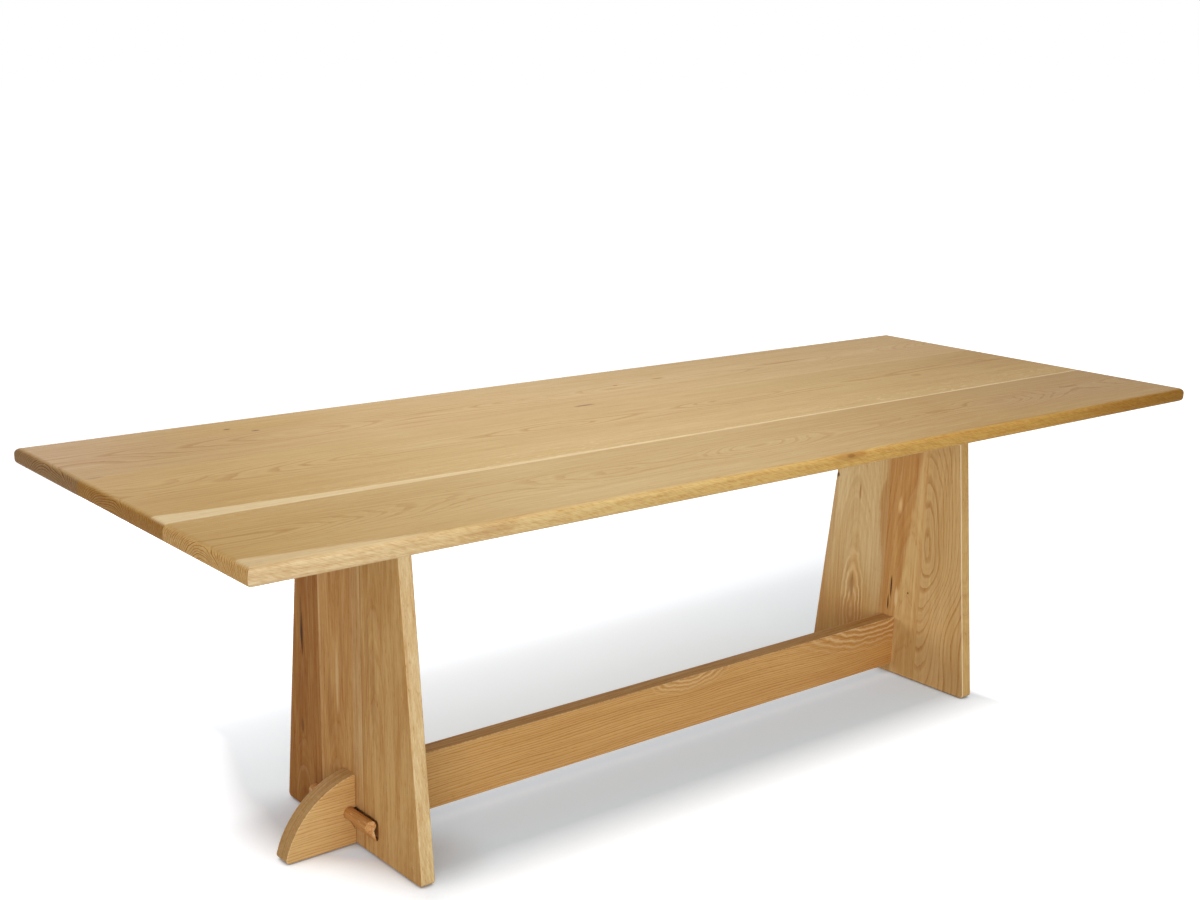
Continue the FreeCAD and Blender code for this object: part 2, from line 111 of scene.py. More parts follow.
def curve(tree, value, points):  # a smooth line through the points
    starts, heights = zip(*points)
    margin = 0.001  # keeps the lowest and highest point inside the curve's field
    low, high = min(heights) - margin, max(heights) + margin
    share = addNode(tree, "MapRange", {"Value": value, "From Min": starts[0],
                                       "From Max": starts[-1]}).outputs["Result"]
    bent = addNode(tree, "FloatCurve", {"Value": share})
    line = bent.mapping.curves[0]
    spots = [((start - starts[0]) / (starts[-1] - starts[0]), (height - low) / (high - low))
             for start, height in points]
    line.points[0].location, line.points[-1].location = spots[0], spots[-1]
    for spot in spots[1:-1]:
        line.points.new(*spot)
    bent.mapping.update()
    return calc(tree, "MULTIPLY_ADD", bent.outputs[0], high - low, low)


def newGroup(name, inputs, outputs):
    group = bpy.data.node_groups.new(name, "ShaderNodeTree")
    for way, sockets in (("INPUT", inputs), ("OUTPUT", outputs)):
        for label, kind in sockets.items():
            group.interface.new_socket(label, in_out=way, socket_type="NodeSocket" + kind)
    start = group.nodes.new("NodeGroupInput")
    end = group.nodes.new("NodeGroupOutput")
    return group, start.outputs, end.inputs


def useGroup(tree, group, inputs):
    made = tree.nodes.new("ShaderNodeGroup")
    made.node_tree = group
    for key, value in inputs.items():
        feed(tree, made.inputs[key], value)
    return made.outputs


def newMaterial(name):
    material = bpy.data.materials.new(name)
    material.use_nodes = True
    material.node_tree.nodes.clear()
    return material, material.node_tree


def setOutput(tree, shader, kind="Material"):
    output = addNode(tree, "Output" + kind)
    tree.links.new(shader.outputs[0], output.inputs[0])


def dress(node, material):
    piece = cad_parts[node]
    piece.data.materials.clear()
    piece.data.materials.append(material)


def colour(red, green, blue):  # a screen colour of 0 to 255, as the shader wants it
    def linear(part):
        part = part / 255
        return part / 12.92 if part <= 0.04045 else ((part + 0.055) / 1.055) ** 2.4
    return (linear(red), linear(green), linear(blue), 1.0)


def run(*stops):  # colours along a board, each with the millimetre where it is reached
    return [(start, colour(*shade)) for start, *shade in stops]


def millimetres(*sizes):
    return tuple(size / 1000 for size in sizes)


oakBrown = colour(190, 138, 64)
oakCloud = colour(238, 229, 214)
oakRay = colour(238, 212, 164)
crackBrown = colour(66, 40, 22)
flameBrown = colour(158, 108, 54)
darkFlame = colour(128, 80, 40)
mineralBrown = colour(120, 84, 72)
sapwood = colour(232, 214, 172)
# the colour of the painted highlight on eased edges
paintedEdgeHighlight = colour(255, 240, 205)

# which of the table's x, y and z run along the grain, across the board and through it
grainOrder = {"x": (0, 1, 2), "y": (1, 0, 2), "z": (2, 1, 0), "xOnEdge": (0, 2, 1)}

pithBends = ((0.0, 1.3), (31.0, 1.7))  # across and through: offset of the seed, pace per metre

ringWaves = {
    "long": {"scale": (1.6, 7.0, 7.0), "depth": 0.008},
    "short": {"scale": (8.0, 45.0, 45.0), "depth": 0.0013},
}

ringShape = {
    "uneven": 0.65, "unevenPace": 0.27,   # how far ring widths stray, and how soon, in rings
    "faintest": 0.4,                      # darkness of the palest ring
    "fray": 0.5,                          # how far fibres fray the dark line
    "linesFrom": 0.02, "linesBefore": 0.90,
    "late": (0.3, 0.95),
    "paleIn": (0.70, 0.86), "paleOut": (1.0, 0.9),
    "fineLines": 3.0, "fineFray": 0.8, "fine": (0.1, 0.5),
    "poresBetween": 0.3,                  # share of the pores that lie between the dark lines
}

# marks stretched along the grain; the span is where a mark goes from none to full
grainMarks = {
    "Streak": {"scale": (2.2, 70.0, 70.0), "detail": 5.0, "rough": 0.75, "span": (0.3, 0.7)},
    "Fibre": {"scale": (9.0, 260.0, 260.0), "detail": 3.0, "rough": 0.6, "span": (0.28, 0.72)},
    "Dash": {"scale": (55.0, 900.0, 900.0), "detail": 1.0, "span": (0.54, 0.70)},
    "Blotch": {"scale": (1.6, 8.0, 8.0), "detail": 2.0, "span": (0.3, 0.7)},
    "Mottle": {"scale": (6.0, 38.0, 38.0), "detail": 4.0, "rough": 0.65, "span": (0.36, 0.64)},
    "Fleck": {"scale": (55.0, 230.0, 230.0), "detail": 1.0, "span": (0.58, 0.70)},
}


def makeFigureGroup():  # a board's rings, streaks and pores, as masks
    numbers = ("Wander", "Ring Width", "Seed", "Shift", "Ripple", "Eye", "Spread", "Pore Share")
    inputs = {**dict.fromkeys(("Place", "Pith", "Lean"), "Vector"),
              **dict.fromkeys(numbers, "Float")}
    masks = ("Line", "Late", "Pale", "Fine", *grainMarks)
    outputs = {**dict.fromkeys(masks, "Float"), "Radial": "Vector"}
    group, given, out = newGroup("oakFigure", inputs, outputs)
    place, seed = given["Place"], given["Seed"]
    along = split(group, place)[0]

    # the pith leans and wanders along the board, which draws the cathedrals
    bend = []
    for offset, pace in pithBends:
        spot = calc(group, "MULTIPLY_ADD", along, pace, calc(group, "ADD", seed, offset))
        reach = times(group, given["Wander"], 2.0)
        bend.append(times(group, centre(group, lineNoise(group, spot)), reach))
    slope = vecCalc(group, "SCALE", given["Lean"])
    feed(group, slope.node.inputs["Scale"], along)
    pith = vecCalc(group, "ADD", vecCalc(group, "ADD", given["Pith"], slope),
                   join(group, 0.0, *bend))
    fromPith = vecCalc(group, "MULTIPLY", vecCalc(group, "SUBTRACT", place, pith),
                       join(group, given["Eye"], 1.0, 1.0))
    radius = vecCalc(group, "LENGTH", fromPith)

    # uneven rings: waves shift them, swells push them, and their widths stray
    seeded = vecCalc(group, "ADD", place, join(group, seed, seed, seed))
    for key, amount in (("long", 1.0), ("short", given["Ripple"])):
        wave = noise(group, vecCalc(group, "MULTIPLY", seeded, ringWaves[key]["scale"]))
        swing = times(group, centre(group, wave), amount)
        radius = calc(group, "MULTIPLY_ADD", swing, 2 * ringWaves[key]["depth"], radius)
    radius = calc(group, "ADD", radius, given["Shift"])
    width = calc(group, "MULTIPLY_ADD", calc(group, "MAXIMUM", radius, 0.0), given["Spread"],
                 given["Ring Width"])
    rings = calc(group, "DIVIDE", radius, width)
    uneven = lineNoise(group, calc(group, "MULTIPLY_ADD", rings, ringShape["unevenPace"], seed))
    rings = calc(group, "MULTIPLY_ADD", uneven, ringShape["uneven"] * 2, rings)
    share = calc(group, "FRACT", rings)
    number = calc(group, "FLOOR", rings)
    strength = addNode(group, "TexWhiteNoise", {"W": calc(group, "ADD", number, seed)},
                       noise_dimensions="1D").outputs["Value"]
    strength = calc(group, "MULTIPLY_ADD", strength, 1 - ringShape["faintest"],
                    ringShape["faintest"])

    grain, marks = {}, {}
    for key, mark in grainMarks.items():
        grain[key] = noise(group, vecCalc(group, "MULTIPLY", seeded, mark["scale"]),
                           detail=mark["detail"], rough=mark.get("rough", 0.5))
        marks[key] = ramp(group, grain[key], *mark["span"])

    ragged = calc(group, "MULTIPLY_ADD", centre(group, grain["Fibre"]), ringShape["fray"], share)
    fall = ramp(group, ragged, ringShape["linesFrom"], given["Pore Share"], 1.0, 0.0)
    line = calc(group, "MAXIMUM", fall, ramp(group, share, ringShape["linesBefore"], 1.0))
    marks["Dash"] = times(group, marks["Dash"], calc(
        group, "MULTIPLY_ADD", line, 1 - ringShape["poresBetween"], ringShape["poresBetween"]))
    marks["Line"] = times(group, line, strength)
    marks["Late"] = ramp(group, share, *ringShape["late"])
    marks["Pale"] = times(group, ramp(group, share, *ringShape["paleIn"]),
                          ramp(group, share, *ringShape["paleOut"]), strength)
    fine = calc(group, "FRACT", calc(group, "MULTIPLY_ADD", grain["Fibre"], ringShape["fineFray"],
                                     times(group, rings, ringShape["fineLines"])))
    marks["Fine"] = ramp(group, calc(group, "ABSOLUTE", centre(group, fine)), *ringShape["fine"])
    for key, mask in marks.items():
        feed(group, out[key], mask)
    feed(group, out["Radial"], vecCalc(group, "NORMALIZE", fromPith))
    return group


def makeSwellGroup():  # a lump in the rings, such as a knot or a burl leaves
    inputs = {**dict.fromkeys(("Place", "Centre", "Reach"), "Vector"), "Push": "Float"}
    group, given, out = newGroup("oakSwell", inputs, {"Shift": "Float"})
    offset = offsetFrom(group, given["Place"], given["Centre"], given["Reach"])
    square = vecCalc(group, "DOT_PRODUCT", offset, offset)
    bell = calc(group, "EXPONENT", times(group, square, -1.0))
    feed(group, out["Shift"], times(group, bell, given["Push"]))
    return group


patchEdge = {"scale": (18.0, 230.0, 230.0), "detail": 3.0}  # the noise that frays a patch


def makePatchGroup():  # a soft, ragged spot: a knot's heart, a crack, a stain
    inputs = {**dict.fromkeys(("Place", "Centre", "Reach"), "Vector"),
              **dict.fromkeys(("Soft", "Ragged"), "Float")}
    group, given, out = newGroup("oakPatch", inputs, {"Mask": "Float"})
    offset = offsetFrom(group, given["Place"], given["Centre"], given["Reach"])
    stretched = vecCalc(group, "MULTIPLY", given["Place"], patchEdge["scale"])
    wobble = centre(group, noise(group, stretched, detail=patchEdge["detail"]))
    away = calc(group, "MULTIPLY_ADD", wobble, times(group, given["Ragged"], 2.0),
                vecCalc(group, "LENGTH", offset))
    feed(group, out["Mask"], ramp(group, away, invert(group, given["Soft"]), 1.0, 1.0, 0.0))
    return group


figureGroup = makeFigureGroup()
swellGroup = makeSwellGroup()
patchGroup = makePatchGroup()

# what a board or a mark has, unless its own dictionary says otherwise
plainOak = {
    "lean": (0, 0), "wander": 10, "ripple": 1.0, "eye": 0.0, "spread": 0.0, "poreShare": 0.4,
    "cloud": 0.5, "cloudTint": oakCloud, "fade": 0.4, "sideFade": 0.6, "endLines": 2.4,
    "lines": 0.3, "late": 0.08, "streak": 0.25, "fibre": 0.16, "dash": 0.3, "fine": 0.08,
    "mottle": 0.0, "pale": 0.1, "fleck": 0.4,
    "swells": (), "bands": (), "tints": (), "eyes": (), "patches": (),
}
plainBand = {"wobble": 3, "soft": 3, "amount": 1.0}
plainPatch = {"soft": 0.6, "ragged": 0.25, "amount": 1.0}
plainEye = {"wobble": 18}

bandWave = {"pace": 9.0, "detail": 4.0}
eyeLook = {
    "noise": 26.0, "detail": 3.0, "veinIn": (0.0, 0.2), "veinOut": (0.5, 0.24), "vein": 0.5,
    "duskIn": (0.5, 0.62), "duskOut": (1.0, 0.7), "dusk": 0.3,
    "core": 1.8,  # full strength within the reach divided by this
}
curlLook = {"detail": 3.0, "span": (0.38, 0.66)}
wearLook = {"noise": 240.0, "span": (0.35, 0.6)}

# shares of the normal, or of its turn to the rings, where a face goes from none to full
faceSpans = {
    "end": (0.3, 0.85), "side": (0.35, 0.8), "rim": (0.8, 0.4), "corner": (0.2, 0.5),
    "worn": (0.97, 0.85), "flatSawn": (0.72, 0.97), "quartered": (0.7, 0.2),
}
oakFinish = {
    "rough": 0.48, "roughLines": 0.15, "ior": 1.45, "specular": 0.05, "endDarker": 0.5,
    "grooves": (("Fibre", -0.5), ("Line", -0.3), ("Dash", -0.7)),
    "bump": 0.35, "bumpDeep": 0.0005,
}


def boardEdge(tree, along, points, wobble):  # a line drawn along the board through the points
    line = curve(tree, along, [millimetres(*point) for point in points])
    wave = lineNoise(tree, times(tree, along, bandWave["pace"]), detail=bandWave["detail"])
    return calc(tree, "MULTIPLY_ADD", centre(tree, wave), 2 * wobble / 1000, line)


def bandMask(tree, place, band):
    along, across = split(tree, place)[:2]
    soft = band["soft"] / 1000
    mask = 1.0
    for key, sign in (("low", 1.0), ("high", -1.0)):
        if key not in band:
            continue
        edge = boardEdge(tree, along, band[key], band["wobble"])
        inside = times(tree, calc(tree, "SUBTRACT", across, edge), sign)
        mask = times(tree, ramp(tree, inside, -soft, soft), mask)
    return times(tree, mask, band["amount"])


def runAlong(tree, place, tone):  # one colour, or a run of them along the board
    if isinstance(tone, tuple):
        return tone
    first, last = tone[0][0] / 1000, tone[-1][0] / 1000
    along = split(tree, place)[0]
    share = addNode(tree, "MapRange", {"Value": along, "From Min": first, "From Max": last})
    made = addNode(tree, "ValToRGB", {0: share.outputs["Result"]})
    stops = made.color_ramp.elements
    for step, (start, shade) in enumerate(tone):
        spot = (start / 1000 - first) / (last - first)
        stop = stops[0] if step == 0 else stops[-1] if step == len(tone) - 1 else stops.new(spot)
        stop.position, stop.color = spot, shade
    return made.outputs[0]


def stain(tree, place, tone, patches):
    for patch in patches:
        patch = {**plainPatch, **patch}
        mask = useGroup(tree, patchGroup, {
            "Place": place, "Centre": millimetres(*patch["at"]),
            "Reach": millimetres(*patch["reach"]), "Soft": patch["soft"],
            "Ragged": patch["ragged"]})["Mask"]
        tone = blendColour(tree, times(tree, mask, patch["amount"]), tone, patch["colour"])
    return tone


def drawEye(tree, place, where, tone, eye, seed):  # pale veins nested round a spot on the face
    offset = vecCalc(tree, "SUBTRACT", place, millimetres(*eye["at"], 0))
    offset = vecCalc(tree, "MULTIPLY", offset, (1 / eye["long"], 1.0, 0.0))
    seeded = vecCalc(tree, "ADD", place, (seed, seed, seed))
    wobble = centre(tree, noise(tree, seeded, scale=eyeLook["noise"], detail=eyeLook["detail"]))
    away = calc(tree, "MULTIPLY_ADD", wobble, eye["wobble"] / 1000,
                vecCalc(tree, "LENGTH", offset))
    share = calc(tree, "FRACT", calc(tree, "DIVIDE", away, eye["rings"] / 1000))
    reach = eye["reach"] / 1000
    mask = times(tree, ramp(tree, away, reach, reach / eyeLook["core"]), where)
    for key, shade, mode in (("dusk", oakBrown, "MULTIPLY"), ("vein", oakRay, "MIX")):
        band = times(tree, ramp(tree, share, *eyeLook[key + "In"]),
                     ramp(tree, share, *eyeLook[key + "Out"]))
        tone = blendColour(tree, times(tree, band, mask, eyeLook[key]), tone, shade, mode=mode)
    return tone


def turnToGrain(tree, vector, grain):
    parts = split(tree, vector)
    return join(tree, *(parts[axis] for axis in grainOrder[grain]))


def findFaces(tree, normal, oak):  # masks for ends and sides, and the normal's own parts
    along, across, through = split(tree, vecCalc(tree, "ABSOLUTE", normal))
    faces = {"across": across, "through": through}
    if "rim" in oak:  # one rim of edges and ends round two flat faces
        faces["side"], faces["end"] = ramp(tree, through, *faceSpans["rim"]), 0.0
    else:
        faces["end"] = ramp(tree, along, *faceSpans["end"])
        faces["side"] = ramp(tree, across, *faceSpans["side"])
    return faces


def drawFigure(tree, place, oak):
    shift = 0.0
    for swell in oak["swells"]:
        made = useGroup(tree, swellGroup, {
            "Place": place, "Centre": millimetres(*swell["at"]),
            "Reach": millimetres(*swell["reach"]), "Push": swell["push"] / 1000})
        shift = calc(tree, "ADD", made["Shift"], shift)
    pith = oak["pith"] if len(oak["pith"]) == 3 else (0, *oak["pith"])
    return useGroup(tree, figureGroup, {
        "Place": place, "Pith": millimetres(*pith), "Lean": (0.0, *oak["lean"]),
        "Wander": oak["wander"] / 1000, "Ring Width": oak["rings"] / 1000,
        "Seed": oak["seed"], "Shift": shift, "Ripple": oak["ripple"], "Eye": oak["eye"],
        "Spread": oak["spread"], "Pore Share": oak["poreShare"]})


def layGround(tree, place, faces, figure, oak):  # the wood's own colours, before any lines
    tone = runAlong(tree, place, oak["tone"])
    if "sides" in oak:
        tone = blendColour(tree, faces["side"], tone, runAlong(tree, place, oak["sides"]))
    tone = blendColour(tree, times(tree, figure["Blotch"], oak["cloud"]), tone,
                       oak["cloudTint"], mode="MULTIPLY")
    for band in oak["bands"]:
        mask = times(tree, bandMask(tree, place, {**plainBand, **band}),
                     invert(tree, faces["side"]))
        tone = blendColour(tree, mask, tone, band["colour"])
    tone = stain(tree, place, tone, oak["tints"])
    return blendColour(tree, faces["end"], tone, oak["end"]) if "end" in oak else tone


def fadeLines(tree, facing, faces, oak):  # lines are full where rings lie flat, and on ends
    fade = ramp(tree, facing, *faceSpans["flatSawn"], oak["fade"], 1.0)
    fade = times(tree, fade, calc(tree, "MULTIPLY_ADD", faces["side"], -oak["sideFade"], 1.0))
    fade = calc(tree, "MAXIMUM", fade, faces["end"])
    return times(tree, fade, calc(tree, "MULTIPLY_ADD", faces["end"], oak["endLines"] - 1.0, 1.0))


def drawCurl(tree, place, curl):  # short ticks of wavy grain on the sides
    along, across, through = split(tree, place)
    slant = calc(tree, "MULTIPLY_ADD", along, curl.get("slant", 0.0), through)
    slanted = vecCalc(tree, "MULTIPLY", join(tree, along, across, slant), curl["scale"])
    return ramp(tree, noise(tree, slanted, detail=curlLook["detail"]), *curlLook["span"])


def drawShade(tree, place, faces, fade, figure, oak):  # how dark all the lines are together
    shade = times(tree, figure["Line"], fade, oak["lines"])
    for key in ("Late", "Streak", "Fibre", "Dash", "Fine", "Mottle"):
        shade = calc(tree, "MULTIPLY_ADD", figure[key], oak[key.lower()], shade)
    if "curl" in oak:
        ticks = times(tree, drawCurl(tree, place, oak["curl"]), faces["side"])
        shade = calc(tree, "MULTIPLY_ADD", ticks, oak["curl"]["amount"], shade)
    darker = calc(tree, "MULTIPLY_ADD", faces["end"], oakFinish["endDarker"], 1.0)
    return calc(tree, "MULTIPLY", shade, darker, clamp=True)


def wearEdges(tree, place, faces, wear, tone):  # pale specks where long edges are rubbed
    deep = calc(tree, "ABSOLUTE", split(tree, place)[2])
    worn = ramp(tree, deep, (wear["half"] - wear["width"]) / 1000, wear["half"] / 1000)
    worn = times(tree, worn, ramp(tree, faces["through"], *faceSpans["worn"]))
    speck = ramp(tree, noise(tree, place, scale=wearLook["noise"]), *wearLook["span"])
    return blendColour(tree, times(tree, worn, speck, wear["amount"]), tone, oakRay)


def makeOak(name, oak):
    oak = {**plainOak, **oak}
    material, tree = newMaterial(name)
    coords = addNode(tree, "TexCoord").outputs
    place = turnToGrain(tree, coords["Object"], oak["grain"])
    normal = turnToGrain(tree, coords["Normal"], oak["grain"])
    faces = findFaces(tree, normal, oak)
    figure = drawFigure(tree, place, oak)
    tone = layGround(tree, place, faces, figure, oak)

    # rings, streaks and pores darken it with one brown, then come veins and knots
    facing = calc(tree, "ABSOLUTE", vecCalc(tree, "DOT_PRODUCT", normal, figure["Radial"]))
    fade = fadeLines(tree, facing, faces, oak)
    shade = drawShade(tree, place, faces, fade, figure, oak)
    tone = blendColour(tree, shade, tone, oakBrown, mode="MULTIPLY")
    tone = blendColour(tree, times(tree, figure["Pale"], fade, oak["pale"]), tone, oakRay)
    for eye in oak["eyes"]:
        tone = drawEye(tree, place, invert(tree, faces["side"]), tone, {**plainEye, **eye},
                       oak["seed"])
    tone = stain(tree, place, tone, oak["patches"])

    # a painted highlight makes the eased edges paler, and rays show on quartered faces
    if "paintedHighlight" in oak:
        corner = calc(tree, "MINIMUM", faces["across"], faces["through"])
        corner = ramp(tree, corner, *faceSpans["corner"])
        tone = blendColour(tree, times(tree, corner, oak["paintedHighlight"]), tone, paintedEdgeHighlight)
    rays = times(tree, figure["Fleck"], ramp(tree, facing, *faceSpans["quartered"]),
                 invert(tree, faces["end"]), oak["fleck"])
    tone = blendColour(tree, rays, tone, oakRay)
    if "wear" in oak:
        tone = wearEdges(tree, place, faces, oak["wear"], tone)

    height = 0.0
    for key, depth in oakFinish["grooves"]:
        height = calc(tree, "MULTIPLY_ADD", figure[key], depth, height)
    bump = addNode(tree, "Bump", {"Height": height, "Strength": oakFinish["bump"],
                                  "Distance": oakFinish["bumpDeep"]}).outputs[0]
    rough = calc(tree, "MULTIPLY_ADD", shade, oakFinish["roughLines"], oakFinish["rough"])
    setOutput(tree, addNode(tree, "BsdfPrincipled", {
        "Base Color": tone, "Roughness": rough, "Normal": bump, "IOR": oakFinish["ior"],
        "Specular IOR Level": oakFinish["specular"]}))
    return material


def extent(node, axis, way):  # the lowest (way min) or highest (way max) point, in millimetres
    return round(way(spot.co[axis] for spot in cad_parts[node].data.vertices) * 1000)


topEnd, topFace = extent("top_board_near", 0, max), extent("top_board_near", 2, max)
legHead = extent("leg_left_board_near", 2, max)
leftFace = extent("leg_left_board_near", 0, min)    # the left leg's outer face
rightFace = extent("leg_right_board_near", 0, min)  # the right leg's inner face

topFigure = {"lines": 0.28, "streak": 0.14, "late": 0.05, "fibre": 0.2, "dash": 0.22,
             "cloud": 0.35, "poreShare": 0.34, "fine": 0.05}
topBoards = {
    "top_board_far": {
        "pith": (285, 640), "wander": 22, "lean": (0.0, 0.012), "rings": 4.6, "seed": 3.1,
        "tone": run((-topEnd, 186, 153, 98), (-575, 212, 185, 137), (0, 213, 187, 141),
                    (550, 212, 185, 137), (topEnd, 213, 183, 134)),
        "end": colour(159, 128, 84),
        "swells": [{"at": (-180, 299, topFace), "reach": (110, 22, 60), "push": -9},
                   {"at": (-1150, 273, topFace), "reach": (140, 30, 60), "push": 8},
                   {"at": (820, 262, topFace), "reach": (40, 40, 60), "push": 4}],
        "patches": [
            {"at": (-90, 171, topFace), "reach": (34, 6, 9), "colour": mineralBrown,
             "amount": 0.75},
            {"at": (-826, 383, topFace), "reach": (9, 5, 6), "colour": crackBrown, "amount": 0.7},
            {"at": (-784, 343, topFace), "reach": (12, 6, 6), "colour": crackBrown,
             "amount": 0.6},
            {"at": (110, 307, topFace), "reach": (10, 5, 6), "colour": flameBrown, "amount": 0.8},
            {"at": (250, 319, topFace), "reach": (26, 6, 6), "colour": flameBrown, "amount": 0.7},
            {"at": (660, 309, topFace), "reach": (130, 9, 12), "colour": flameBrown,
             "amount": 0.4}],
        "tints": [
            {"at": (-1200, 340, topFace), "reach": (230, 180, 60),
             "colour": colour(190, 152, 108), "amount": 0.35, "soft": 0.9},
            {"at": (-760, 390, topFace), "reach": (300, 95, 60), "colour": colour(202, 170, 108),
             "amount": 0.5, "soft": 0.9}]},
    "top_board_middle": {
        "pith": (40, 665), "wander": 16, "lean": (0.0, 0.010), "rings": 4.4, "seed": 14.2,
        "tone": run((-topEnd, 195, 161, 99), (-575, 210, 185, 135), (0, 210, 184, 136),
                    (550, 203, 176, 124), (topEnd, 200, 168, 112)),
        "end": colour(175, 132, 62),
        "swells": [{"at": (215, 52, topFace), "reach": (240, 26, 60), "push": -9},
                   {"at": (-1120, 47, topFace), "reach": (150, 40, 60), "push": 9},
                   {"at": (-650, 50, topFace), "reach": (200, 16, 60), "push": -5}],
        "bands": [{"low": [(-topEnd, -200), (topEnd, -200)],
                   "high": [(-topEnd, -125), (-1000, -144), (-740, -158), (-300, -166),
                            (topEnd, -171)],
                   "colour": sapwood, "amount": 0.8, "wobble": 4, "soft": 2}],
        "patches": [
            {"at": (-1190, 163, topFace), "reach": (26, 6, 9), "colour": mineralBrown,
             "amount": 0.5},
            {"at": (1110, 37, topFace), "reach": (100, 9, 12), "colour": flameBrown,
             "amount": 0.4},
            {"at": (808, 6, topFace), "reach": (20, 12, 12), "colour": flameBrown,
             "amount": 0.4}]},
    "top_board_near": {
        "pith": (-315, 655), "wander": 24, "lean": (0.0, -0.014), "rings": 4.8, "seed": 33.6,
        "ripple": 2.2,
        "tone": run((-topEnd, 195, 162, 101), (-575, 206, 183, 135), (0, 199, 174, 127),
                    (550, 187, 157, 104), (topEnd, 191, 161, 114)),
        # the near edge turns darker and more orange toward the right: partly the wood's own
        # colour, partly painted shade
        "sides": run((-topEnd, 227, 206, 164), (-900, 223, 200, 152), (-575, 220, 196, 137),
                     (0, 214, 180, 108), (575, 204, 164, 87), (1000, 172, 128, 54),
                     (topEnd, 162, 120, 47)),
        "end": colour(215, 179, 114),
        "curl": {"slant": 0.35, "scale": (70.0, 70.0, 520.0), "amount": 0.24},
        "swells": [{"at": (-20, -297, topFace), "reach": (150, 40, 60), "push": -14},
                   {"at": (420, -307, topFace), "reach": (40, 16, 60), "push": -6},
                   {"at": (-700, -330, topFace), "reach": (200, 50, 60), "push": 10}],
        "bands": [{"low": [(-topEnd, -480), (topEnd, -480)],
                   "high": [(-topEnd, -414), (-1050, -436), (-880, -458), (-800, -470),
                            (topEnd, -480)],
                   "colour": sapwood, "amount": 0.6, "wobble": 4, "soft": 5}],
        "patches": [
            {"at": (64, -463, 743), "reach": (16, 8, 5), "colour": crackBrown, "amount": 0.55},
            {"at": (64, -463, 743), "reach": (60, 12, 12), "colour": flameBrown, "amount": 0.5},
            {"at": (-780, -463, 735), "reach": (70, 12, 9), "colour": flameBrown, "amount": 0.35,
             "ragged": 0.5}],
        "tints": [
            {"at": (900, -330, topFace), "reach": (420, 90, 60), "colour": colour(180, 148, 112),
             "amount": 0.4, "soft": 0.9}]},
}

